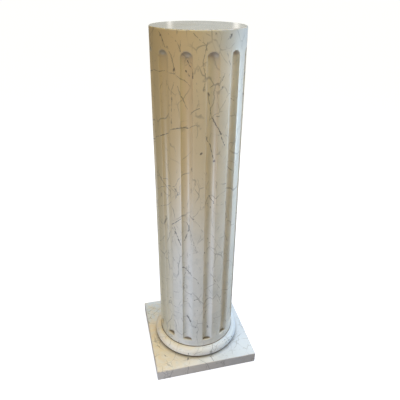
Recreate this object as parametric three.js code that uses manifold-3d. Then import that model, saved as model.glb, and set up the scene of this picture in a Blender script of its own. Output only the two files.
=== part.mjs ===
// A short fluted marble column of the kind that carries a bust or an urn.
// It has two stones. The base is a square plinth with a half-round torus carved
// on top of it from the same block. The shaft stands on the torus, without a
// capital: twelve flutes with rounded heads, cut square at the foot, run between
// a plain band at the top and another at the foot.
//
// Units are millimetres. +Z is up, and the origin is the middle of the underside.
// The plinth's sides lie along X and Y.

import * as THREE from "three";
import { mergeVertices } from "three/addons/utils/BufferGeometryUtils.js";
import Module from "manifold-3d";

// Driving dimensions
const SHAFT_DIAMETER = 250;
const SHAFT_LENGTH = 992;
const SHAFT_TURN = 3.4; // degrees that the shaft stands turned on its base
const TOP_EDGE = 1.8; // flat taken off the top's rim
const FOOT_EDGE = 1.4; // flat taken off the foot's rim
const BED_JOINT = 0.3; // thin bed between the two stones

const FLUTE_COUNT = 12;
const FLUTE_WIDTH = 31.6; // straight across, from arris to arris
const FLUTE_DEPTH = 12;
const TOP_BAND = 47; // plain stone above the crowns of the flutes
const FOOT_BAND = 25; // plain stone below the flutes

const TORUS_HEIGHT = 34;
const TORUS_RIM = 2.6; // flat of the torus that shows round the shaft's foot

const PLINTH_THICKNESS = 37;
const PLINTH_MARGIN = 24; // from the torus's widest line to the plinth's side
const PLINTH_EDGE = 1.6; // flat taken off the edges of its top and underside
const PLINTH_CORNER = 2.4; // flat taken off its four upright corners

// How finely round forms are faceted
const SHAFT_SIDES = 144;
const TORUS_SIDES = 96;
const TORUS_STEPS = 12;
const CUTTER_SIDES = 36;
const HEAD_STEPS = 9;

const MARBLE = { roughness: 0.35, metalness: 0 };

// Sizes that follow
const shaftRadius = SHAFT_DIAMETER / 2;
const tubeRadius = TORUS_HEIGHT / 2;
const tubeCentre = shaftRadius + TORUS_RIM;
const plinthHalf = tubeCentre + tubeRadius + PLINTH_MARGIN;
const torusTop = PLINTH_THICKNESS + TORUS_HEIGHT;
const shaftFoot = torusTop + BED_JOINT;

// A flute's hollow is part of a circle that is FLUTE_DEPTH deep and passes
// through both arrises. Its centre lies outside the shaft's face.
const halfWidth = FLUTE_WIDTH / 2;
const chordRadius = Math.sqrt(shaftRadius ** 2 - halfWidth ** 2);
const depthAtChord = chordRadius - (shaftRadius - FLUTE_DEPTH);
const cutterRadius =
  (halfWidth ** 2 + depthAtChord ** 2) / (2 * depthAtChord);
const cutterDistance = shaftRadius - FLUTE_DEPTH + cutterRadius;

// The rounded head is a ball of the same radius. Its crown, on the shaft's face,
// is higher than its centre by crownRise.
const centreProud = Math.max(cutterDistance - shaftRadius, 0);
const crownRise = Math.sqrt(cutterRadius ** 2 - centreProud ** 2);
const headCentre = SHAFT_LENGTH - TOP_BAND - crownRise;

const wasm = await Module();
wasm.setup();

// A closed three.js geometry as a solid that can be joined and cut.
function solid(geometry) {
  const bare = geometry.index ? geometry.toNonIndexed() : geometry.clone();
  bare.deleteAttribute("normal");
  bare.deleteAttribute("uv");
  const merged = mergeVertices(bare, 1e-4);
  return new wasm.Manifold(
    new wasm.Mesh({
      numProp: 3,
      vertProperties: merged.attributes.position.array,
      triVerts: new Uint32Array(merged.index.array),
    }),
  );
}

function geometryOf(manifold) {
  const mesh = manifold.getMesh();
  const geometry = new THREE.BufferGeometry();
  geometry.setAttribute(
    "position",
    new THREE.BufferAttribute(new Float32Array(mesh.vertProperties), 3),
  );
  geometry.setIndex(Array.from(mesh.triVerts));
  geometry.computeVertexNormals();
  return geometry;
}

// A profile of [radius, height] points turned about the Z axis. The points run
// from the foot of the axis, round the outside, to the top of the axis.
function turned(profile, sides) {
  const points = profile.map(([radius, height]) => new THREE.Vector2(radius, height));
  return new THREE.LatheGeometry(points, sides).rotateX(Math.PI / 2);
}

// Points of an arc, both ends included. Angles are in degrees from level.
function arc(centreRadius, centreHeight, radius, from, to, steps) {
  return Array.from({ length: steps + 1 }, (_, i) => {
    const angle = THREE.MathUtils.degToRad(from + ((to - from) * i) / steps);
    return [
      centreRadius + radius * Math.cos(angle),
      centreHeight + radius * Math.sin(angle),
    ];
  });
}

// The square slab, with a small flat on every edge.
function plinthSlab() {
  const centre = new THREE.Vector2();
  const ends = [PLINTH_CORNER - plinthHalf, plinthHalf - PLINTH_CORNER];
  const outline = [];
  for (let side = 0; side < 4; side += 1) {
    for (const along of ends) {
      const corner = new THREE.Vector2(along, -plinthHalf);
      outline.push(corner.rotateAround(centre, (side * Math.PI) / 2));
    }
  }
  return new THREE.ExtrudeGeometry(new THREE.Shape(outline), {
    depth: PLINTH_THICKNESS - 2 * PLINTH_EDGE,
    bevelEnabled: true,
    bevelThickness: PLINTH_EDGE,
    bevelSize: PLINTH_EDGE,
    bevelOffset: -PLINTH_EDGE,
    bevelSegments: 1,
  }).translate(0, 0, PLINTH_EDGE);
}

// The half-round moulding. Its foot is sunk into the slab, so that they join.
function torus() {
  const sunk = PLINTH_THICKNESS / 2;
  return turned(
    [
      [0, sunk],
      [tubeCentre, sunk],
      ...arc(tubeCentre, PLINTH_THICKNESS + tubeRadius, tubeRadius, -90, 90, TORUS_STEPS),
      [0, torusTop],
    ],
    TORUS_SIDES,
  );
}

function base() {
  return geometryOf(solid(plinthSlab()).add(solid(torus())));
}

// The plain drum that the flutes are cut from, standing on z = 0.
function drum() {
  return turned(
    [
      [0, 0],
      [shaftRadius - FOOT_EDGE, 0],
      [shaftRadius, FOOT_EDGE],
      [shaftRadius, SHAFT_LENGTH - TOP_EDGE],
      [shaftRadius - TOP_EDGE, SHAFT_LENGTH],
      [0, SHAFT_LENGTH],
    ],
    SHAFT_SIDES,
  );
}

// The stone that one flute takes away: round above, flat below.
function fluteHollow(index) {
  const hollow = turned(
    [
      [0, FOOT_BAND],
      [cutterRadius, FOOT_BAND],
      ...arc(0, headCentre, cutterRadius, 0, 90, HEAD_STEPS),
    ],
    CUTTER_SIDES,
  );
  return hollow
    .translate(0, -cutterDistance, 0)
    .rotateZ((2 * Math.PI * index) / FLUTE_COUNT);
}

function shaft() {
  let stone = solid(drum());
  for (let i = 0; i < FLUTE_COUNT; i += 1) {
    stone = stone.subtract(solid(fluteHollow(i)));
  }
  return geometryOf(stone);
}

function piece(name, geometry, colour) {
  const material = new THREE.MeshStandardMaterial({ color: colour, ...MARBLE });
  const mesh = new THREE.Mesh(geometry, material);
  mesh.name = name;
  return mesh;
}

const column = new THREE.Group();

const baseStone = piece("base", base(), 0xdedbd0);
column.add(baseStone);

const shaftStone = piece("shaft", shaft(), 0xd6d0c2);
shaftStone.position.z = shaftFoot;
shaftStone.rotation.z = THREE.MathUtils.degToRad(SHAFT_TURN);
column.add(shaftStone);

export default column;
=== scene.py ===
# A fluted marble column that carries a bust or an urn: its looks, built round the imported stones.
# Lengths are in metres unless a name or a comment says otherwise. +Z is up, and the origin is
# the middle of the underside. A bearing goes round the axis, from the plinth's front side (-Y)
# towards +X.
import math

import bmesh
import bpy
from mathutils import Matrix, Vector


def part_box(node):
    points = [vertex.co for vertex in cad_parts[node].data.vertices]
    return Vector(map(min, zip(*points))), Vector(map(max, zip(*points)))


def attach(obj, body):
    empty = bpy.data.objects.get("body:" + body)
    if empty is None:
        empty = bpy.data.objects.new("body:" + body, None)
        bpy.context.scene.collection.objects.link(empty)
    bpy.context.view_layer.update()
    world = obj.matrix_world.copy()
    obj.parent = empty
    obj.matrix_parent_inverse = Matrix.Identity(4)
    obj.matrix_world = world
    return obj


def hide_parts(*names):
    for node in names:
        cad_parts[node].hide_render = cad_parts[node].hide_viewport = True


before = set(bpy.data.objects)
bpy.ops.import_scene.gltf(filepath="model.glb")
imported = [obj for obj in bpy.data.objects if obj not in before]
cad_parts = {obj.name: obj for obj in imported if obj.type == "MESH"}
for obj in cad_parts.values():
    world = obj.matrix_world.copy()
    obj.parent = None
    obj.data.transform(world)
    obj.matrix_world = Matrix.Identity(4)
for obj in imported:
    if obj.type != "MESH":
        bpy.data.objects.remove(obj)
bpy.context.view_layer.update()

MM = 0.001
TINY = 1e-6
TOUCHING = 20 * TINY  # points closer than this are one point

# Sizes of the two stones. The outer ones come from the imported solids.
base_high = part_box("base")[1]
shaft_low, shaft_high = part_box("shaft")

PLINTH_HALF = base_high.x
PLINTH_THICKNESS = 37 * MM
PLINTH_EDGE = 1.7 * MM
TORUS_TOP = base_high.z
TUBE_RADIUS = (TORUS_TOP - PLINTH_THICKNESS) / 2
SHAFT_RADIUS = 125 * MM
SHAFT_FOOT = shaft_low.z
SHAFT_TOP = shaft_high.z
SHAFT_TURN = math.radians(3.4)
TORUS_RIM = 2.6 * MM
TUBE_CENTRE = SHAFT_RADIUS + TORUS_RIM
BED_RADIUS = 112 * MM  # where the flat ring on top of the torus ends, under the shaft
END_RING = 2 * MM  # how wide a flat ring runs round each of the shaft's ends

FLUTES = 12
FLUTE_HALF = 15.84 * MM  # half a flute's width, measured round the shaft's face
FLUTE_DEPTH = 12 * MM
TOP_BAND = 47 * MM
FOOT_BAND = 25 * MM
ARRIS = 1.0 * MM
TOP_ROUND = 2.5 * MM
FOOT_ROUND = 1.5 * MM

# Sizes that follow
STAVE_HALF = math.pi * SHAFT_RADIUS / FLUTES
HOLLOW_RADIUS = (FLUTE_HALF**2 + FLUTE_DEPTH**2) / (2 * FLUTE_DEPTH)
SILL = SHAFT_FOOT + FOOT_BAND
CROWN = SHAFT_TOP - TOP_BAND
HEAD = CROWN - FLUTE_HALF  # where a flute's round head begins
SHOULDER = HEAD + STAVE_HALF

# How finely the meshes are cut
FLUTE_STEPS = 24
LAND_CUTS = 3
ROW = 9 * MM
ROUND_STEPS = 4
TORUS_SEGMENTS = 144
TORUS_STEPS = 20
PLINTH_CUTS = 9

# Faces that meet at less than this are shaded as one
SMOOTH_ANGLE = math.radians(35)


# Modelling by hand

def nothing_selected():
    if bpy.context.mode != "OBJECT":
        bpy.ops.object.mode_set(mode="OBJECT")
    bpy.ops.object.select_all(action="DESELECT")


def choose(piece):
    """Makes the piece the selected and active one, and the only one."""
    nothing_selected()
    piece.select_set(True)
    bpy.context.view_layer.objects.active = piece


def start_with_vertex(name, place):
    """A new piece, in edit mode, that is one vertex at the place."""
    nothing_selected()
    bpy.ops.mesh.primitive_plane_add(size=MM)
    piece = bpy.context.object
    piece.name = piece.data.name = name
    bpy.ops.object.mode_set(mode="EDIT")
    bpy.ops.mesh.select_all(action="SELECT")
    bpy.ops.mesh.merge(type="CENTER")
    bpy.ops.transform.translate(value=place)
    return piece


def pick(kind, test):
    """Selects those vertices or edges of the mesh in edit mode that pass the test."""
    bpy.ops.mesh.select_mode(type=kind)
    bpy.ops.mesh.select_all(action="DESELECT")
    mesh = bpy.context.object.data
    shape = bmesh.from_edit_mesh(mesh)
    for part in {"VERT": shape.verts, "EDGE": shape.edges}[kind]:
        if test(part):
            part.select_set(True)
    shape.select_flush_mode()
    bmesh.update_edit_mesh(mesh)


def pick_edges(test):
    """Selects the edges whose two ends both pass the test, which is given a point."""
    pick("EDGE", lambda edge: all(test(vertex.co) for vertex in edge.verts))


def extrude(shift=(0, 0, 0)):
    bpy.ops.mesh.extrude_region_move(TRANSFORM_OT_translate={"value": shift})


def extrude_rows(rise):
    """Draws the selection up, or down where the rise is negative, in rows of about ROW."""
    rows = round(abs(rise) / ROW)
    for _ in range(rows):
        extrude((0, 0, rise / rows))


def resize(scale, about):
    bpy.ops.transform.resize(value=scale, center_override=about)


def press_flat(axis, side, limit):
    """Presses what lies beyond the limit, on one side of an axis's zero, back onto it."""
    pick("VERT", lambda vertex: vertex.co[axis] * side > limit + TINY)
    scale = [1, 1, 1]
    scale[axis] = 0
    about = [0, 0, 0]
    about[axis] = side * limit
    resize(scale, about)


def merge_doubles():
    bpy.ops.mesh.select_all(action="SELECT")
    bpy.ops.mesh.remove_doubles(threshold=TOUCHING)


def face_outwards():
    bpy.ops.mesh.select_all(action="SELECT")
    bpy.ops.mesh.normals_make_consistent(inside=False)
    nothing_selected()


def near(a, b):
    return abs(a - b) < TOUCHING


def modified(piece, kind, **settings):
    """Adds a modifier to the piece and applies it."""
    choose(piece)
    modifier = piece.modifiers.new(kind, kind)
    for name, value in settings.items():
        setattr(modifier, name, value)
    bpy.ops.object.modifier_apply(modifier=modifier.name)


def settle(piece):
    """Puts the piece's turn and place into its mesh."""
    choose(piece)
    bpy.ops.object.transform_apply(location=True, rotation=True, scale=True)


# The shaft

# A stave is a twelfth of the shaft's face with its flute, laid out flat. Its face is the plane
# y = 0 with the stone behind it, towards +Y, and the flute runs up z.


def on_face(point):
    return near(point.y, 0)


def on_rim(point):
    """Whether the point is on the flute's arrises: up its sides and round its head."""
    if point.z > HEAD + TINY:
        return on_face(point) and near(math.hypot(point.x, point.z - HEAD), FLUTE_HALF)
    return on_face(point) and near(abs(point.x), FLUTE_HALF) and point.z > SILL - TINY


def on_stave_outline(point):
    return near(abs(point.x), STAVE_HALF) or near(point.z, SHOULDER)


def across_land(edge):
    """Whether the edge runs from the flute's rim straight to the outline."""
    ends = [vertex.co for vertex in edge.verts]
    return any(on_rim(a) and on_stave_outline(b) for a, b in (ends, ends[::-1]))


def draw_hollow():
    """The flute's hollow: an arc from arris to arris, drawn up, and half of it spun over."""
    swing = 2 * math.asin(FLUTE_HALF / HOLLOW_RADIUS)
    centre = (0, FLUTE_DEPTH - HOLLOW_RADIUS, SILL)
    bpy.ops.mesh.spin(steps=FLUTE_STEPS, angle=swing, center=centre, axis=(0, 0, 1))
    bpy.ops.mesh.select_all(action="SELECT")
    extrude_rows(HEAD - SILL)
    pick_edges(lambda point: near(point.z, HEAD) and point.x > -TINY)
    bpy.ops.mesh.spin(steps=FLUTE_STEPS, angle=math.pi, center=(0, 0, HEAD), axis=(0, 1, 0))
    merge_doubles()


def draw_lands():
    """The lands beside the hollow, and the square of plain stone round its head."""
    for side in (-1, 1):
        pick_edges(lambda point: on_rim(point) and point.z < HEAD + TINY and point.x * side > 0)
        extrude((side * (STAVE_HALF - FLUTE_HALF), 0, 0))
    pick_edges(lambda point: on_rim(point) and point.z > HEAD - TINY)
    extrude()
    spread = STAVE_HALF * math.sqrt(2) / FLUTE_HALF
    resize((spread, 1, spread), (0, 0, HEAD))
    press_flat(0, -1, STAVE_HALF)
    press_flat(0, 1, STAVE_HALF)
    press_flat(2, 1, SHOULDER)
    merge_doubles()
    pick("EDGE", across_land)
    bpy.ops.mesh.subdivide(number_cuts=LAND_CUTS)


def round_over(radius, upwards):
    """Draws the selected edge of the flat face on round a quarter circle, back into the stone."""
    before = 0
    for step in range(1, ROUND_STEPS + 1):
        angle = step * math.pi / 2 / ROUND_STEPS
        back = radius * (math.cos(before) - math.cos(angle))
        up = radius * (math.sin(angle) - math.sin(before))
        extrude((0, back, up * upwards))
        before = angle


def draw_bands():
    """The plain band above, the ledge that the flute stands on, and the plain band below."""
    pick_edges(lambda point: near(point.z, SHOULDER))
    extrude_rows(SHAFT_TOP - TOP_ROUND - SHOULDER)
    round_over(TOP_ROUND, 1)

    pick_edges(lambda point: near(point.z, SILL) and abs(point.x) < FLUTE_HALF + TINY)
    extrude()
    resize((1, 0, 1), (0, 0, SILL))
    merge_doubles()
    pick_edges(lambda point: near(point.z, SILL) and on_face(point))
    extrude_rows(-(FOOT_BAND - FOOT_ROUND))
    round_over(FOOT_ROUND, -1)


def flute_stave():
    stave = start_with_vertex("stave", (-FLUTE_HALF, 0, SILL))
    draw_hollow()
    draw_lands()
    draw_bands()

    # The arrises are barely eased
    pick_edges(on_rim)
    bpy.ops.mesh.bevel(offset=ARRIS, segments=2, profile=0.5, affect="EDGES")
    nothing_selected()
    return stave


def close_end(height):
    """Closes the shaft's open end with a flat face and a narrow flat ring round it."""
    pick_edges(lambda point: near(point.z, height))
    bpy.ops.mesh.edge_face_add()
    bpy.ops.mesh.inset(thickness=END_RING)


def shaft_stone():
    """Twelve staves side by side, bent round into the shaft and closed at both ends."""
    stone = flute_stave()
    modified(
        stone, "ARRAY", count=FLUTES, use_relative_offset=False, use_constant_offset=True,
        constant_offset_displace=(2 * math.pi * SHAFT_RADIUS / FLUTES, 0, 0),
        use_merge_vertices=True, merge_threshold=TOUCHING,
    )
    modified(stone, "SIMPLE_DEFORM", deform_method="BEND", deform_axis="Z", angle=2 * math.pi)
    stone.location.y = -SHAFT_RADIUS
    settle(stone)
    stone.rotation_euler.z = SHAFT_TURN
    settle(stone)
    stone.name = stone.data.name = "fluted_shaft"

    bpy.ops.object.mode_set(mode="EDIT")
    merge_doubles()
    close_end(SHAFT_TOP)
    close_end(SHAFT_FOOT)
    face_outwards()
    return stone


# The base

def on_tube_foot(point):
    """Whether the point is where the torus meets the plinth's top."""
    level = near(point.z, PLINTH_THICKNESS)
    return level and near(math.hypot(point.x, point.y), TUBE_CENTRE)


def on_plinth_outline(point):
    return near(max(abs(point.x), abs(point.y)), PLINTH_HALF)


def on_plinth_edge(edge):
    """Whether the edge is one of the plinth's twelve, or a part of one."""
    first, second = (vertex.co for vertex in edge.verts)
    if not (on_plinth_outline(first) and on_plinth_outline(second)):
        return False
    if near(first.z, second.z):
        return near(first.z, PLINTH_THICKNESS) or near(first.z, 0)
    return near(abs(first.x), PLINTH_HALF) and near(abs(first.y), PLINTH_HALF)


def draw_plinth():
    """From the circle at the torus's foot out to the square, and down to the underside."""
    bpy.ops.mesh.select_all(action="SELECT")
    extrude()
    spread = PLINTH_HALF * math.sqrt(2) / TUBE_CENTRE
    resize((spread, spread, 1), (0, 0, PLINTH_THICKNESS))
    for side in (-1, 1):
        press_flat(0, side, PLINTH_HALF)
        press_flat(1, side, PLINTH_HALF)
    pick("EDGE", lambda edge: on_tube_foot(edge.verts[0].co) != on_tube_foot(edge.verts[1].co))
    bpy.ops.mesh.subdivide(number_cuts=PLINTH_CUTS)
    pick_edges(lambda point: near(point.z, PLINTH_THICKNESS) and on_plinth_outline(point))
    extrude_rows(-PLINTH_THICKNESS)
    bpy.ops.mesh.edge_face_add()


def draw_torus():
    """From the torus's foot round to its flat top, which the shaft stands on."""
    pick_edges(on_tube_foot)
    radius, height = TUBE_CENTRE, PLINTH_THICKNESS
    for step in range(1, TORUS_STEPS + 1):
        angle = math.pi * step / TORUS_STEPS - math.pi / 2
        next_radius = TUBE_CENTRE + TUBE_RADIUS * math.cos(angle)
        next_height = PLINTH_THICKNESS + TUBE_RADIUS * (1 + math.sin(angle))
        extrude((0, 0, next_height - height))
        grow = next_radius / radius
        resize((grow, grow, 1), (0, 0, next_height))
        radius, height = next_radius, next_height
    extrude()
    shrink = BED_RADIUS / TUBE_CENTRE
    resize((shrink, shrink, 1), (0, 0, height))
    bpy.ops.mesh.edge_face_add()


def base_stone():
    """The plinth and the torus on it, one stone."""
    nothing_selected()
    bpy.ops.mesh.primitive_circle_add(
        vertices=TORUS_SEGMENTS, radius=TUBE_CENTRE, location=(0, 0, PLINTH_THICKNESS)
    )
    stone = bpy.context.object
    stone.name = stone.data.name = "plinth_and_torus"
    settle(stone)
    bpy.ops.object.mode_set(mode="EDIT")
    draw_plinth()
    draw_torus()

    # The plinth's edges and corners are worn soft
    pick("EDGE", on_plinth_edge)
    bpy.ops.mesh.bevel(offset=PLINTH_EDGE, segments=3, profile=0.5, affect="EDGES")
    face_outwards()
    return stone


# Both stones, with their chips

def chipped(stone, chips):
    """Knocks small chips out of the stone. Each is a place, and a radius in millimetres."""
    cutters = []
    for seed, (place, size) in enumerate(chips):
        radius = size * MM
        nothing_selected()
        bpy.ops.mesh.primitive_ico_sphere_add(subdivisions=2, radius=radius, location=place)
        cutters.append(bpy.context.object)
        bpy.ops.object.mode_set(mode="EDIT")
        bpy.ops.mesh.select_all(action="SELECT")
        bpy.ops.transform.vertex_random(offset=radius / 4, seed=seed)
        nothing_selected()
    for cutter in cutters:
        cutter.select_set(True)
    joined = cutters[0]
    bpy.context.view_layer.objects.active = joined
    bpy.ops.object.join()
    modified(stone, "BOOLEAN", operation="DIFFERENCE", object=joined, solver="EXACT")
    bpy.data.objects.remove(joined)


def on_shaft(bearing, height):
    """The point of the shaft's face at a bearing in degrees and a height in millimetres."""
    turn = math.radians(bearing)
    return (SHAFT_RADIUS * math.sin(turn), -SHAFT_RADIUS * math.cos(turn), height * MM)


shaft = shaft_stone()
chipped(shaft, (
    (on_shaft(-45.8, 71.5), 2.6),
    (on_shaft(10.9, 932), 1.9),
    (on_shaft(-79, 596), 1.3),
    (on_shaft(41.5, 512), 1.4),
    (on_shaft(148, 640), 1.9),
    (on_shaft(-139, 301), 1.6),
    (on_shaft(97, 71.5), 2.1),
))
base = base_stone()
chipped(base, (
    ((106 * MM, -PLINTH_HALF, PLINTH_THICKNESS), 1.9),
    ((71 * MM, -PLINTH_HALF, PLINTH_THICKNESS), 1.5),
    ((-157 * MM, -PLINTH_HALF, PLINTH_THICKNESS), 1.8),
    ((PLINTH_HALF, -PLINTH_HALF, 3 * MM), 2.6),
    ((-PLINTH_HALF, -44 * MM, PLINTH_THICKNESS), 1.9),
    ((PLINTH_HALF, 93 * MM, PLINTH_THICKNESS), 2.3),
    ((-62 * MM, PLINTH_HALF, PLINTH_THICKNESS), 2.1),
))
for stone in (shaft, base):
    choose(stone)
    bpy.ops.object.shade_smooth_by_angle(angle=SMOOTH_ANGLE)
    modified(stone, "WEIGHTED_NORMAL", keep_sharp=True, weight=50)


# Shader sums

class Wire:
    """A socket of a material's nodes. A sum written with it adds the Math nodes of that sum."""

    def __init__(self, tree, socket=None):
        self.tree = tree
        self.socket = socket

    def node(self, kind, settings=None, sockets=None, output=0):
        """Adds any other node: its settings first, then the values or links of its sockets."""
        made = self.tree.nodes.new("ShaderNode" + kind)
        for name, value in (settings or {}).items():
            if name == "curve":
                bend_curve(made.mapping, value)
            else:
                setattr(made, name, value)
        for name, value in (sockets or {}).items():
            if isinstance(value, Wire):
                self.tree.links.new(value.socket, made.inputs[name])
            else:
                made.inputs[name].default_value = value
        return Wire(self.tree, made.outputs[output])

    def feeds(self, shader, name):
        self.tree.links.new(self.socket, shader.inputs[name])

    def math(self, operation, *values):
        return self.node("Math", {"operation": operation}, dict(enumerate(values)))

    def __add__(self, other):
        return self.math("ADD", self, other)

    def __mul__(self, other):
        return self.math("MULTIPLY", self, other)

    def __sub__(self, other):
        return self.math("SUBTRACT", self, other)

    def __rsub__(self, other):
        return self.math("SUBTRACT", other, self)

    def __abs__(self):
        return self.math("ABSOLUTE", self)

    __radd__ = __add__
    __rmul__ = __mul__


def bend_curve(mapping, points):
    """Draws a Float Curve's line straight from point to point."""
    line = mapping.curves[0]
    while len(line.points) < len(points):
        line.points.new(1, 1)
    for handle, point in zip(line.points, points):
        handle.location = point
        handle.handle_type = "VECTOR"
    mapping.update()


def rising(value, low, high):
    """0 at low and 1 at high, smooth between them. High may be the smaller."""
    return value.node(
        "MapRange", {"interpolation_type": "SMOOTHSTEP"},
        {"Value": value, "From Min": low, "From Max": high},
    )


def at_least(floor, share):
    """The share, raised so that it runs from the floor to 1 in place of from 0 to 1."""
    return floor + (1 - floor) * share


def larger(first, second):
    return first.math("MAXIMUM", first, second)


def largest(shares):
    """All of the shares laid over each other. They are made one by one, as each is reached."""
    shares = iter(shares)
    whole = next(shares)
    for share in shares:
        whole = larger(whole, share)
    return whole


def noise(place, size, seed, detail=2):
    """Soft noise round a half, its lumps about as big as size."""
    return place.node(
        "TexNoise", {"noise_dimensions": "4D"},
        {"Vector": place, "W": seed, "Scale": 1 / size, "Detail": detail},
    )


def stirred(place, size, reach, seed):
    """The place pushed about by soft noise, by up to about reach, so that lines waver."""
    stir = place.node(
        "TexNoise", {"noise_dimensions": "4D"},
        {"Vector": place, "W": seed, "Scale": 1 / size, "Detail": 2}, "Color",
    )
    evened = stir.node("VectorMath", {"operation": "SUBTRACT"}, {0: stir, 1: (0.5, 0.5, 0.5)})
    push = evened.node("VectorMath", {"operation": "SCALE"}, {0: evened, "Scale": 2 * reach})
    return place.node("VectorMath", {"operation": "ADD"}, {0: place, 1: push})


def stretched(place, scale):
    return place.node("Mapping", sockets={"Vector": place, "Scale": scale})


def split(place):
    """The three coordinates of a place: east, north and up."""
    first = place.node("SeparateXYZ", None, {"Vector": place})
    return [Wire(place.tree, socket) for socket in first.socket.node.outputs]


def distance_out(east, north):
    """How far from the stone's axis."""
    level = east.node("CombineXYZ", None, {"X": east, "Y": north})
    return level.node("VectorMath", {"operation": "LENGTH"}, {0: level}, "Value")


def blended(share, first, second):
    """The first colour, with that share of the second laid over it.

    A Mix node's colours are its sockets 6 and 7, and its output 2."""
    return share.node("Mix", {"data_type": "RGBA"}, {0: share, 6: first, 7: second}, 2)


# Marble that veins of its own run through

CREAM = (0.80, 0.775, 0.745, 1)
CLOUD_GREY = (0.60, 0.61, 0.61, 1)
# On the shaft, honey is painted warm light and tea is painted warm shade
HONEY = (0.80, 0.65, 0.43, 1)
TEA = (0.62, 0.52, 0.30, 1)
# On the base's right side, cool white is painted cool light
COOL_WHITE = (0.66, 0.76, 0.92, 1)
# Painted shade on the plinth's upright faces
SIDE_SHADE_GREY = (0.56, 0.46, 0.45, 1)
VEIN_GREY = (0.115, 0.105, 0.115, 1)
# A brown for painted shade in joints, creases and the flutes' hollows
SHADE_BROWN = (0.16, 0.12, 0.08, 1)


def new_stone(name):
    """A material with a Principled shader, and the place on the stone that it reads."""
    material = bpy.data.materials.new(name)
    material.use_nodes = True
    tree = material.node_tree
    place = Wire(tree).node("TexCoord", output="Object")
    return material, tree.nodes["Principled BSDF"], place


def thinning(place, seed):
    """By how much a vein is thinned from place to place, so that it comes and goes."""
    return 1.3 * MM * rising(noise(place, 9 * MM, seed, 3), 0.44, 0.66)


def hairlines(place, size, width, seed, thin=0):
    """A net of thin lines that comes and goes, its meshes about as big as size."""
    waver = stirred(stirred(place, size, 0.3 * size, seed), size / 6, size / 25, seed + 1)
    cells = stretched(waver, (1, 1, 0.6))
    gap = cells.node(
        "TexVoronoi", {"feature": "DISTANCE_TO_EDGE"}, {"Vector": cells, "Scale": 1 / size}
    )
    return rising(gap * size + thin, width, 0) * rising(noise(place, size, seed + 2), 0.47, 0.62)


def flecks(place, size, seed):
    """Small dark grains in loose crowds."""
    grain = noise(stretched(place, (1, 1, 0.5)), size, seed, 3)
    return rising(grain, 0.66, 0.75) * rising(noise(place, 60 * MM, seed + 1), 0.42, 0.62)


def bold_veins(place, seed):
    """Long broken veins, for the sides that no listed vein is placed on."""
    worn = thinning(place, seed + 3)
    return hairlines(stretched(place, (1, 1, 0.7)), 150 * MM, 2.8 * MM, seed, worn)


def natural_dark(place, seed):
    """The darkness of the fine veining that is all over the stone."""
    wide = hairlines(place, 85 * MM, 1.8 * MM, seed) * 0.46
    close = hairlines(place, 34 * MM, 1.3 * MM, seed + 5) * 0.36
    return largest([wide, close, flecks(place, 5 * MM, seed + 9) * 0.6])


def body_colour(place, seed):
    """White stone with soft grey clouds."""
    soft = noise(stirred(place, 90 * MM, 40 * MM, seed), 150 * MM, seed + 1)
    fine = noise(stirred(place, 15 * MM, 8 * MM, seed), 22 * MM, seed + 2, 4)
    cloud = rising(soft, 0.42, 0.72) * 0.42 + rising(fine, 0.46, 0.72) * 0.42
    return blended(cloud, CREAM, CLOUD_GREY)


def polish(shader, place, roughness, seed):
    """An uneven sheen, and a surface that the rubbing stone left barely wavy."""
    (roughness + 0.12 * (noise(place, 35 * MM, seed) - 0.5)).feeds(shader, "Roughness")
    waves = noise(place, 12 * MM, seed + 1) + 0.15 * noise(place, 2 * MM, seed + 2)
    bump = waves.node("Bump", None, {"Height": waves, "Strength": 0.12, "Distance": 0.4 * MM})
    bump.feeds(shader, "Normal")


# Veins and smudges that are placed one by one

# How dark they are
FAINT = 0.32
PLAIN = 0.58
STRONG = 0.88

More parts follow.
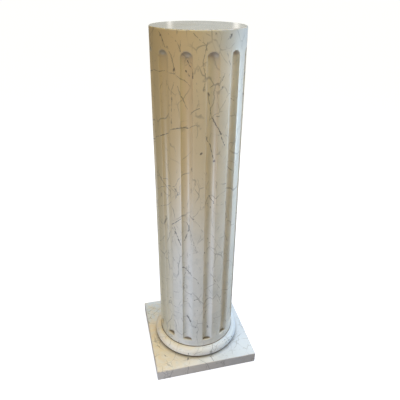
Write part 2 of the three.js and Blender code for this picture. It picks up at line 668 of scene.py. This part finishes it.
# The veins of the shaft's front: how dark, how wide in millimetres, and the points that each
# runs through, as bearings in degrees and heights in millimetres
VEINS = (
    # Upper third
    (PLAIN, 1.5, (-98, 953), (-76, 964), (-50, 965), (-40, 964), (-28, 946), (-22, 933)),
    (STRONG, 1.9, (-98, 766), (-86, 775), (-76, 788), (-56, 807), (-52, 818), (-46, 826),
     (-34, 832), (-24, 831)),
    (PLAIN, 1.3, (-24, 831), (-21, 838), (-16, 842), (-8, 833)),
    (PLAIN, 1.7, (-61, 1055), (-55, 1034), (-53, 1024), (-49, 1020), (-45, 1009), (-43, 994),
     (-41, 976), (-39, 964)),
    (PLAIN, 1.3, (-48, 1055), (-41, 1044), (-36, 1032), (-33, 1015)),
    (PLAIN, 1.5, (-3, 1040), (-6, 1015), (-9, 994), (-5, 961), (-7, 932), (-1, 917)),
    (STRONG, 2.0, (-2, 921), (1, 898), (3, 865), (8, 844), (14, 819), (17, 798), (22, 777)),
    (PLAIN, 1.6, (5, 852), (8, 861), (13, 862)),
    (STRONG, 1.7, (-4, 815), (-1, 798), (3, 786), (6, 761), (8, 738)),
    (PLAIN, 1.5, (25, 1053), (18, 1038), (19, 1019), (22, 998), (25, 982)),
    (PLAIN, 1.5, (18, 967), (14, 948), (6, 940), (0, 930), (-2, 921)),
    (FAINT, 1.5, (25, 917), (20, 900), (15, 886), (11, 873)),
    (PLAIN, 1.4, (25, 917), (29, 908), (39, 891)),
    (STRONG, 2.2, (-27, 996), (-25, 986), (-20, 976), (-19, 955)),
    (PLAIN, 1.4, (-41, 946), (-45, 919), (-45, 882), (-46, 842)),
    (PLAIN, 1.3, (-38, 940), (-33, 911), (-29, 886), (-23, 863)),
    (PLAIN, 1.5, (-23, 863), (-19, 875), (-11, 885)),
    (FAINT, 1.3, (40, 944), (54, 941), (70, 932)),
    (STRONG, 1.6, (55, 784), (62, 777), (70, 771)),
    (STRONG, 2.2, (-62, 1057), (-59, 1049), (-57, 1042), (-55, 1034)),
    (PLAIN, 1.6, (-33, 1040), (-33, 1032), (-34, 1024), (-33, 1016)),
    (PLAIN, 1.3, (-19, 1057), (-13, 1044), (-5, 1032), (-4, 1019)),
    (FAINT, 1.3, (-15, 932), (-13, 911), (-12, 888)),
    (PLAIN, 1.8, (28, 807), (29, 794), (30, 777), (29, 765)),
    (FAINT, 1.2, (-98, 973), (-86, 978), (-74, 983), (-65, 990)),
    # Middle third
    (PLAIN, 1.7, (-21, 723), (-23, 706), (-32, 700), (-38, 686), (-42, 665), (-50, 656),
     (-61, 650)),
    (PLAIN, 1.4, (-83, 669), (-72, 675), (-60, 673), (-49, 654)),
    (PLAIN, 1.4, (-98, 548), (-83, 565), (-72, 579), (-60, 592), (-52, 610), (-44, 636)),
    (STRONG, 1.7, (-51, 535), (-46, 544), (-41, 554), (-34, 567)),
    (STRONG, 1.8, (-45, 535), (-41, 508), (-38, 492), (-35, 471)),
    (STRONG, 1.9, (-25, 574), (-21, 569), (-17, 571)),
    (STRONG, 1.6, (-32, 487), (-28, 510), (-25, 531), (-24, 565)),
    (PLAIN, 1.3, (-18, 669), (-12, 648), (-7, 619)),
    (PLAIN, 1.6, (11, 610), (17, 606), (23, 606)),
    (PLAIN, 1.5, (27, 636), (35, 641), (46, 636), (56, 637)),
    (PLAIN, 1.7, (28, 725), (32, 715), (40, 696)),
    (FAINT, 1.5, (2, 515), (9, 506), (14, 481), (22, 452)),
    (PLAIN, 1.4, (-25, 531), (-19, 498), (-13, 456), (-11, 439)),
    (PLAIN, 1.4, (29, 585), (33, 565), (37, 542)),
    (PLAIN, 1.6, (-58, 458), (-53, 433), (-46, 414), (-39, 405)),
    (PLAIN, 1.3, (-84, 439), (-70, 464), (-64, 485)),
    (STRONG, 1.5, (-54, 570), (-53, 560), (-52, 549), (-50, 535)),
    (PLAIN, 2.6, (-63, 554), (-62, 544), (-63, 533), (-64, 526)),
    (STRONG, 1.7, (-50, 532), (-44, 518), (-42, 508)),
    (PLAIN, 1.4, (-44, 515), (-47, 500), (-49, 485), (-50, 471)),
    (STRONG, 1.6, (-34, 554), (-29, 551), (-26, 537), (-25, 523)),
    (FAINT, 2.4, (-23, 510), (-22, 496), (-21, 477)),
    (PLAIN, 1.5, (-19, 485), (-16, 464), (-14, 453), (-12, 439)),
    (FAINT, 1.3, (-17, 565), (-11, 550), (-5, 526)),
    (PLAIN, 1.3, (-86, 617), (-76, 631), (-68, 645), (-59, 650)),
    (FAINT, 1.3, (-98, 493), (-84, 498), (-68, 503)),
    (PLAIN, 1.4, (0, 613), (5, 602), (6, 594)),
    (STRONG, 1.8, (3, 638), (5, 629), (8, 619), (9, 610)),
    (FAINT, 3.0, (31, 506), (34, 489), (37, 476), (39, 460)),
    # Lower third
    (STRONG, 2.2, (-34, 397), (-29, 381), (-24, 369), (-19, 363)),
    (PLAIN, 1.5, (-19, 366), (-13, 356), (-11, 339)),
    (PLAIN, 1.4, (-88, 302), (-78, 313), (-62, 323), (-50, 335), (-44, 341)),
    (STRONG, 1.9, (-17, 272), (-12, 279), (-9, 268), (-7, 258)),
    (PLAIN, 1.5, (4, 375), (11, 356), (14, 339), (23, 301)),
    (STRONG, 2.8, (-28, 194), (-24, 178), (-20, 163)),
    (PLAIN, 1.5, (-65, 252), (-61, 244), (-52, 235), (-45, 228)),
    (STRONG, 1.7, (3, 218), (0, 202), (-1, 185)),
    (PLAIN, 1.4, (-86, 193), (-80, 202), (-74, 216), (-65, 231)),
    (PLAIN, 1.3, (-29, 398), (-32, 352), (-33, 312)),
    (FAINT, 1.4, (29, 229), (38, 206), (46, 183)),
    (FAINT, 1.4, (-50, 207), (-36, 209)),
    (FAINT, 1.3, (2, 314), (7, 298), (11, 284)),
    (FAINT, 1.4, (11, 172), (18, 160), (23, 147)),
    (FAINT, 1.4, (42, 314), (50, 298), (60, 273)),
    (FAINT, 1.4, (-11, 356), (-12, 335), (-10, 327)),
    (FAINT, 1.3, (-51, 202), (-45, 181), (-41, 164)),
    (FAINT, 2.4, (-84, 131), (-78, 147), (-71, 160)),
    (FAINT, 2.4, (-82, 254), (-76, 262), (-70, 265)),
)

# The smudges of the shaft's front: how dark, the bearing and height of each, how long it is
# and how far its top leans towards greater bearings, in degrees. Slimness is how wide each is
# for its length.
SLIMNESS = 0.5
SMUDGES = (
    (STRONG, 24, 1049, 15, 30), (PLAIN, -60, 1049, 11, -30), (PLAIN, 6, 1053, 11, -30),
    (PLAIN, -49, 1021, 9, -30), (STRONG, -41, 973, 13, 0), (PLAIN, -54, 1003, 8, 0),
    (STRONG, -28, 971, 8, -30), (STRONG, -25, 963, 9, -30), (PLAIN, -45, 903, 10, 0),
    (PLAIN, -46, 843, 9, 0), (PLAIN, -7, 932, 15, 0), (STRONG, -1, 916, 13, -30),
    (PLAIN, 7, 847, 9, -30), (STRONG, 15, 815, 8, -30), (PLAIN, -2, 806, 14, 0),
    (STRONG, 8, 740, 11, 0), (STRONG, -9, 766, 11, 30), (STRONG, 28, 724, 7, 30),
    (PLAIN, -21, 718, 12, 0), (PLAIN, 15, 935, 8, 30),
    (STRONG, -42, 654, 10, -30), (PLAIN, -39, 642, 14, 0),
    (STRONG, -50, 535, 9, 30), (STRONG, -38, 492, 10, -30), (PLAIN, -53, 567, 8, 0),
    (PLAIN, 5, 629, 12, 0), (PLAIN, -18, 571, 8, 0), (PLAIN, 28, 606, 9, 30),
    (PLAIN, -68, 621, 15, 0), (STRONG, -2, 449, 6, 0), (PLAIN, -24, 439, 6, -30),
    (PLAIN, -11, 496, 5, 0), (PLAIN, -61, 421, 8, -30),
    (STRONG, -2, 365, 8, 30), (PLAIN, -32, 312, 8, 0), (STRONG, -24, 370, 12, 30),
    (STRONG, -60, 244, 6, 0), (STRONG, -27, 191, 15, -30), (STRONG, -23, 175, 16, -30),
    (STRONG, -15, 157, 6, -30), (STRONG, 6, 145, 11, 0), (PLAIN, -12, 231, 5, 0),
    (PLAIN, -28, 266, 5, 0), (PLAIN, -54, 153, 6, 30), (PLAIN, -12, 136, 12, 30),
)

# The veins of the base, seen from above: how dark, how wide in millimetres, and the points that
# each runs through, as millimetres east and north of the axis
BASE_VEINS = (
    (PLAIN, 1.8, (27, -124), (24, -138), (17, -144), (19, -156), (22, -168)),
    (STRONG, 3.4, (-63, -143), (-60, -137), (-59, -132)),
    (STRONG, 2.4, (-136, -101), (-132, -109), (-126, -112)),
    (PLAIN, 2.4, (-152, -56), (-147, -63), (-144, -71)),
    (STRONG, 2.8, (13, -145), (20, -144), (28, -146)),
    (PLAIN, 2.6, (76, -127), (82, -123), (89, -119)),
    (PLAIN, 1.8, (60, -122), (93, -104), (120, -90), (147, -74), (169, -61)),
    (FAINT, 1.8, (103, -131), (122, -116), (131, -100), (134, -86)),
    (FAINT, 1.6, (40, -136), (52, -146), (74, -158)),
    (FAINT, 1.6, (-169, -31), (-152, -27), (-136, -19)),
    (PLAIN, 1.6, (-171, 118), (-160, 104), (-149, 99), (-138, 86)),
    (FAINT, 1.6, (-166, 60), (-156, 52), (-145, 47)),
    (PLAIN, 1.5, (-171, 88), (-159, 83), (-150, 74)),
    (FAINT, 1.6, (-120, -160), (-104, -146), (-96, -134)),
    (FAINT, 2.0, (-161, 82), (-146, 97), (-127, 112), (-112, 127)),
    (PLAIN, 1.6, (-163, 112), (-146, 124), (-131, 139)),
    (FAINT, 2.0, (-157, 146), (-139, 131), (-116, 116)),
    (PLAIN, 1.8, (-162, 77), (-151, 89), (-152, 101)),
    (PLAIN, 1.8, (-163, -49), (-150, -34), (-133, -21)),
    (PLAIN, 1.6, (94, -109), (84, -115), (75, -122)),
    (FAINT, 1.6, (146, -56), (131, -71), (111, -94)),
    (FAINT, 1.6, (120, -101), (131, -127), (150, -150)),
)


def vein(across, up, thin, dark, width, marks):
    """The darkness of one vein through the marks, on a flat picture of the stone's face.

    It follows its height against its way across, or where it is steep the other way about.
    Thin is by how much it is thinned from place to place, and its width is in millimetres."""
    reach = [abs(last - first) for first, last in zip(marks[0], marks[-1])]
    steep = reach[1] > reach[0]
    along, aside = (up, across) if steep else (across, up)
    marks = sorted((mark[steep], mark[not steep]) for mark in marks)
    start, end = marks[0][0], marks[-1][0]
    low = min(mark[1] for mark in marks)
    high = max(mark[1] for mark in marks) + MM
    share = along.node("MapRange", None, {"Value": along, "From Min": start, "From Max": end})
    line = [((mark[0] - start) / (end - start), (mark[1] - low) / (high - low)) for mark in marks]
    middle = share.node("FloatCurve", {"curve": line}, {"Value": share})
    lean = (end - start) / math.hypot(*reach)
    gap = abs(aside - (low + (high - low) * middle)) * lean + thin
    ends = rising(abs(share - 0.5), 0.5, 0.46)
    return rising(gap, width * MM, 0.15 * width * MM) * ends * dark


def leaning_face(face, lean):
    """The picture of the face, turned and drawn in so that smudges of that lean are round."""
    turned = face.node("Mapping", None, {"Vector": face, "Rotation": (0, 0, math.radians(lean))})
    drawn_in = {0: turned, 1: (1 / SLIMNESS, 1, 0)}
    return turned.node("VectorMath", {"operation": "MULTIPLY"}, drawn_in)


def smudge(leaning, course):
    """The darkness of one smudge on the shaft's face, a blot with soft sides."""
    dark, bearing, height, length, lean = course
    across = math.radians(bearing) * SHAFT_RADIUS
    turn = math.radians(lean)
    up = height * MM
    centre = (
        (across * math.cos(turn) - up * math.sin(turn)) / SLIMNESS,
        across * math.sin(turn) + up * math.cos(turn),
        0,
    )
    face = leaning[lean]
    spread = face.node("VectorMath", {"operation": "DISTANCE"}, {0: face, 1: centre}, "Value")
    half = length / 2 * MM
    return rising(spread, 1.25 * half, 0.55 * half) * dark


# The shaft's marble

# In degrees: the middle of the side that the photo shows, and how far from it the bold veins
# of the stone's own set in and are at their full strength
SHOWN_BEARING = -16
OWN_VEINS_FROM = 75
OWN_VEINS_FULL = 86

# Where each of the shaft's tones sets in and where it is full. The honey is painted warm light
# and the tea is painted warm shade. Bearings are in radians here.
WARM_LIGHT_HEIGHTS = (380 * MM, 770 * MM)
WARM_LIGHT_BEARINGS = (0.9, -0.8)
WARM_LIGHT_ON_RIGHT = 0.15  # the share of it that is left there
FLANK_SHADE_BEARINGS = (-0.5, -1.4)
FRONT_NORTHS = (0.12, -0.02)
GREY_HEIGHTS = (1000 * MM, 1030 * MM)
GREY_BEARINGS = (-0.3, 0.3)
BELOW_RIM = (SHAFT_TOP - 1 * MM, SHAFT_TOP - 4 * MM)

# Roughness
HONED = 0.36
POLISHED = 0.12


def shaft_dark(place, bearing, up):
    """The darkness of the shaft's veins, smudges and flecks."""
    across = bearing * SHAFT_RADIUS
    face = across.node("CombineXYZ", None, {"X": across, "Y": up})
    thin = thinning(place, 3)
    placed = largest(
        vein(across, up, thin, dark, width, [
            (math.radians(turn) * SHAFT_RADIUS, height * MM) for turn, height in points
        ])
        for dark, width, *points in VEINS
    )
    leans = dict.fromkeys(course[-1] for course in SMUDGES)
    leaning = {lean: leaning_face(face, lean) for lean in leans}
    blots = largest(smudge(leaning, course) for course in SMUDGES)
    ragged = at_least(0.12, rising(noise(place, 6 * MM, 4, 3), 0.4, 0.56))
    off_view = abs(bearing - math.radians(SHOWN_BEARING))
    behind = rising(off_view, math.radians(OWN_VEINS_FROM), math.radians(OWN_VEINS_FULL))
    dark = larger(placed, blots * ragged)
    dark = larger(dark, bold_veins(place, 5) * behind * 0.6)
    return larger(dark, natural_dark(place, 10))


def shaft_tone_and_light(place, bearing, north, up):
    """The shaft's colour, with painted light in it.

    It is honey coloured above, most of all to the left, which is painted warm light. It is tea
    coloured down the left flank, which is painted warm shade, and grey in a band under the right
    of the rim."""
    # Painted warm light: honey above, most of all to the left
    warm_lit_top = rising(up, *WARM_LIGHT_HEIGHTS) * at_least(
        WARM_LIGHT_ON_RIGHT, rising(bearing, *WARM_LIGHT_BEARINGS)
    )
    below_rim = rising(up, *BELOW_RIM)
    # Painted warm shade: tea down the left flank
    flank = rising(bearing, *FLANK_SHADE_BEARINGS) * 0.7
    front = rising(north, *FRONT_NORTHS)
    colour = blended(warm_lit_top * below_rim * front, body_colour(place, 30), HONEY)
    colour = blended(flank * front, colour, TEA)
    band = rising(up, *GREY_HEIGHTS) * rising(bearing, *GREY_BEARINGS)
    return blended(band * below_rim * 0.5, colour, CLOUD_GREY)


def shaft_painted_shade(place):
    """Painted shade in the joint at the foot, at the back of the ledges and under the flutes'
    crowns.
    """
    east, north, up = split(place)
    depth = SHAFT_RADIUS - distance_out(east, north)
    # All three are painted shade, where light is shut out
    joint = rising(up, SHAFT_FOOT + 3 * MM, SHAFT_FOOT + 1 * MM)
    on_ledge = rising(up, SILL + 7 * MM, SILL + 1 * MM) * rising(depth, 3 * MM, 7 * MM) * 0.85
    under_crown = rising(up, CROWN - 14 * MM, CROWN - 2 * MM) * rising(depth, 1 * MM, 4 * MM) * 0.4
    return largest([joint, on_ledge, under_crown])


def shaft_marble():
    material, shader, place = new_stone("veined_marble_shaft")
    wavering = stirred(stirred(place, 25 * MM, 3.2 * MM, 1), 5 * MM, 1.8 * MM, 2)
    east, north, up = split(wavering)
    bearing = east.math("ARCTAN2", east, north * -1)
    dark = shaft_dark(place, bearing, up)
    colour = blended(dark, shaft_tone_and_light(place, bearing, north, up), VEIN_GREY)
    # The top is polished and deeper in tone, and the face is honed
    colour = blended(rising(up, SHAFT_TOP - 0.5 * MM, SHAFT_TOP) * 0.2, colour, VEIN_GREY)
    # Painted shade in the joint, at the ledges and under the crowns
    colour = blended(shaft_painted_shade(place), colour, SHADE_BROWN)
    colour.feeds(shader, "Base Color")
    on_top = rising(up, SHAFT_TOP - 3 * MM, SHAFT_TOP - 1.5 * MM)
    polish(shader, place, HONED - (HONED - POLISHED) * on_top, 40)
    return material


# The base's marble

# Where each of the base's tones sets in and where it is full. The cool white of the right side
# is painted cool light.
HONEY_EASTS = (30 * MM, -160 * MM)
HONEY_NORTHS = (85 * MM, 25 * MM)
PLINTH_TOP = (PLINTH_THICKNESS - 3 * MM, PLINTH_THICKNESS - 1 * MM)
COOL_LIGHT_EASTS = (-50 * MM, 130 * MM)
CORNER_EASTS = (-60 * MM, -120 * MM)
CORNER_NORTHS = (40 * MM, 90 * MM)
PLINTH_SIDE = (PLINTH_HALF - 3 * MM, PLINTH_HALF - 1 * MM)

BASE_ROUGHNESS = 0.4


def base_tone_and_light(place, east, north, up):
    """The base's colour, with painted light in it.

    The top is honey coloured along its left, in crumbs. The right side is a cooler white, which is
    painted cool light. The far left corner is a cooler white too, in crumbs. The four upright
    faces are greyer, which is painted shade."""
    crumbs = at_least(0.45, rising(noise(place, 14 * MM, 52, 4), 0.4, 0.6))
    left = rising(east, *HONEY_EASTS) * rising(north, *HONEY_NORTHS)
    left = left * rising(up, *PLINTH_TOP)
    corner = rising(north, *CORNER_NORTHS) * rising(east, *CORNER_EASTS)
    colour = blended(left * crumbs * 0.6, body_colour(place, 80), HONEY)
    # Painted cool light on the right side, and the far left corner's own cooler crumbs
    cool_light_and_corner = larger(rising(east, *COOL_LIGHT_EASTS) * 0.75, corner * crumbs)
    colour = blended(cool_light_and_corner, colour, COOL_WHITE)
    # Painted shade: the upright faces are greyer
    side = rising(larger(abs(east), abs(north)), *PLINTH_SIDE)
    return blended(side * 0.4, colour, SIDE_SHADE_GREY)


def base_painted_shade(place):
    """Painted shade in the crease under the torus, and in the joint on top of it."""
    east, north, up = split(place)
    out = distance_out(east, north)
    # Painted contact shade round the torus's foot
    crease = rising(abs(out - TUBE_CENTRE), 27 * MM, 5 * MM) * rising(
        up, PLINTH_THICKNESS + 9 * MM, PLINTH_THICKNESS + 3 * MM
    )
    joint = rising(out, TUBE_CENTRE, SHAFT_RADIUS) * rising(up, TORUS_TOP - 1 * MM, TORUS_TOP)
    return larger(crease * 0.85, joint * 0.95)


def base_marble():
    material, shader, place = new_stone("veined_marble_base")
    east, north, up = split(stirred(place, 6 * MM, 1.6 * MM, 50))
    thin = thinning(place, 51)
    placed = largest(
        vein(east, north, thin, dark, width, [(x * MM, y * MM) for x, y in points])
        for dark, width, *points in BASE_VEINS
    )
    dark = larger(natural_dark(place, 60), bold_veins(place, 70) * 0.4)
    dark = larger(dark, placed)
    colour = blended(dark, base_tone_and_light(place, east, north, up), VEIN_GREY)
    # Painted shade in the crease and the joint
    colour = blended(base_painted_shade(place), colour, SHADE_BROWN)
    colour.feeds(shader, "Base Color")
    polish(shader, place, BASE_ROUGHNESS, 90)
    return material


for stone, marble in ((shaft, shaft_marble()), (base, base_marble())):
    stone.data.materials.clear()
    stone.data.materials.append(marble)


# Camera, as fitted to the outlines in the photo

CAMERA_PLACE = (-0.2664, -1.0879, 1.1598)
CAMERA_HEADING = math.radians(-14.239)
CAMERA_PITCH = math.radians(-27.992)
CAMERA_ROLL = math.radians(0.664)
LENS_MM = 37.024
SENSOR_MM = 36

eye = bpy.data.cameras.new("eye")
eye.lens = LENS_MM
eye.sensor_width = SENSOR_MM
camera = bpy.data.objects.new("eye", eye)
bpy.context.scene.collection.objects.link(camera)
camera.matrix_world = (
    Matrix.Translation(CAMERA_PLACE)
    @ Matrix.Rotation(CAMERA_HEADING, 4, "Z")
    @ Matrix.Rotation(math.pi / 2 + CAMERA_PITCH, 4, "X")
    @ Matrix.Rotation(CAMERA_ROLL, 4, "Z")
)
bpy.context.scene.camera = camera
bpy.context.scene.view_settings.view_transform = "Standard"


# Floor

FLOOR_SIZE = 60
FLOOR_COLOUR = (0.42, 0.45, 0.55, 1)
FLOOR_GLOW = 0.82

# It shows and takes the shadow, but it sheds no light on the stones and they don't mirror it
nothing_selected()
bpy.ops.mesh.primitive_plane_add(size=FLOOR_SIZE, location=(0, 0, 0))
floor = bpy.context.object
floor.name = "floor"
floor.visible_diffuse = False
floor.visible_shadow = False
floor.visible_glossy = False
paper = bpy.data.materials.new("pale_floor")
paper.use_nodes = True
paper_shader = paper.node_tree.nodes["Principled BSDF"]
paper_shader.inputs["Base Color"].default_value = FLOOR_COLOUR
paper_shader.inputs["Roughness"].default_value = 1
paper_shader.inputs["Specular IOR Level"].default_value = 0
paper_shader.inputs["Emission Color"].default_value = (1, 1, 1, 1)
paper_shader.inputs["Emission Strength"].default_value = FLOOR_GLOW
floor.data.materials.append(paper)


# The room that the polished stone mirrors, and its light

BLACK = (0, 0, 0, 1)
WHITE = (1, 1, 1, 1)
SKY = (1.55, 1.39, 0.92, 1)
GLOW_FROM_BELOW = (0.080, 0.070, 0.062, 1)
ROOM_LEFT = (0.30, 0.26, 0.19, 1)
ROOM_RIGHT = (1.1, 1.3, 1.5, 1)
FAR_WALL = (0.60, 0.635, 0.62, 1)
PANES = (1.25, 1.25, 1.2, 1)

# Parts of the room, as directions from the column: where each sets in and where it is full
RIGHT_SIDE = (0.5, 0.95)
LOW_DOWN = (0.1, -0.1)
WALL_NORTHS = (0.5, 0.7)
WALL_HEIGHTS = (0.4, 0.2)

# On the far wall a slant is how far a direction goes east for each step that it goes north.
# The wall and each pane are the slant of the middle, and half the width with and without the
# soft sides.
WALL_SLANTS = (0.25, 0.5, 0.3)
PANE_SLANTS = ((0.338, 0.011, 0.003), (0.178, 0.009, 0))

SKY_POWER = 4  # how closely the light gathers overhead


def between_slants(slant, middle, outer, inner):
    return rising(abs(slant - middle), outer, inner)


def far_wall(east, north, up):
    """The share of the far wall that is seen in each direction, and of the panes on it."""
    slant = east.math("DIVIDE", east, north)
    wall = rising(north, *WALL_NORTHS) * between_slants(slant, *WALL_SLANTS)
    wall = wall * rising(up, *WALL_HEIGHTS)
    panes = largest(between_slants(slant, *pane) for pane in PANE_SLANTS)
    return wall, wall * panes


def soft_sky():
    """Light that comes mostly from above, and a pale room that shows only in the polish."""
    world = bpy.data.worlds.new("soft_sky")
    world.use_nodes = True
    tree = world.node_tree
    east, north, up = split(Wire(tree).node("TexCoord", output="Generated"))
    above = blended(up.math("POWER", larger(up, 0), SKY_POWER), BLACK, SKY)
    around = blended(up.math("LESS_THAN", up, 0), above, GLOW_FROM_BELOW)
    # The right of the room is bright only low down, where upright faces mirror it
    right = rising(east, *RIGHT_SIDE) * rising(up, *LOW_DOWN)
    room = blended(right, ROOM_LEFT, ROOM_RIGHT)
    wall, panes = far_wall(east, north, up)
    room = blended(wall, room, FAR_WALL)
    room = blended(panes, room, PANES)
    straight = Wire(tree).node("LightPath", output="Is Camera Ray")
    mirrored = Wire(tree, straight.socket.node.outputs["Is Glossy Ray"])
    seen = blended(straight, blended(mirrored, around, room), WHITE)
    seen.feeds(tree.nodes["Background"], "Color")
    return world


def softbox(name, bearing, far, height, aim, size, watts, tint):
    """A lamp at a bearing in degrees that faces the height on the axis that it is aimed at."""
    lamp = bpy.data.lights.new(name, "AREA")
    lamp.shape = "RECTANGLE"
    lamp.size, lamp.size_y = size
    lamp.energy = watts
    lamp.color = tint
    box = bpy.data.objects.new(name, lamp)
    bpy.context.scene.collection.objects.link(box)
    turn = math.radians(bearing)
    box.location = (far * math.sin(turn), -far * math.cos(turn), height)
    box.rotation_euler = (math.pi / 2 - math.atan2(height - aim, far), 0, turn)
    box.visible_camera = False
    return box


bpy.context.scene.world = soft_sky()
softbox("low_left", -48, 0.95, 0.24, 0.24, (0.4, 0.4), 4.4, (0.75, 0.89, 1.11))
softbox("middle_front", 20, 1.2, 0.85, 0.85, (0.35, 0.35), 0.8, (1.0, 0.72, 0.45))
softbox("right", 65, 1.1, 0.60, 0.60, (0.35, 0.35), 1.3, (1.0, 0.74, 0.45))
softbox("window", 88, 1.00, 0.60, 0.60, (0.25, 0.5), 5.2, (0.60, 0.85, 1.03))
softbox("high_right", 101, 1.35, 1.35, 1.35, (0.5, 0.5), 1, (0.25, 0.56, 1.0))
softbox("overhead_front", -14, 1.2, 2.3, 0.5, (0.7, 0.7), 3.4, (1.0, 0.75, 0.15))
softbox("overhead_front_right", 35, 1.2, 2.3, 0.5, (0.7, 0.7), 7.3, (0.88, 1.0, 0.76))
softbox("overhead_right", 80, 1.2, 2.3, 0.5, (0.7, 0.7), 9.5, (0.08, 0.32, 1.0))
softbox("above_left", -60, 0.9, 2.0, 1.06, (0.4, 0.4), 3.5, (1.0, 0.60, 0.1))
back = softbox("back", 166, 2.0, 1.20, 0.50, (1.2, 1.2), 16, (1.0, 0.92, 0.84))
back.visible_glossy = False  # the top would mirror it

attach(shaft, "root")
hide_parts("shaft")
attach(base, "root")
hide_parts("base")
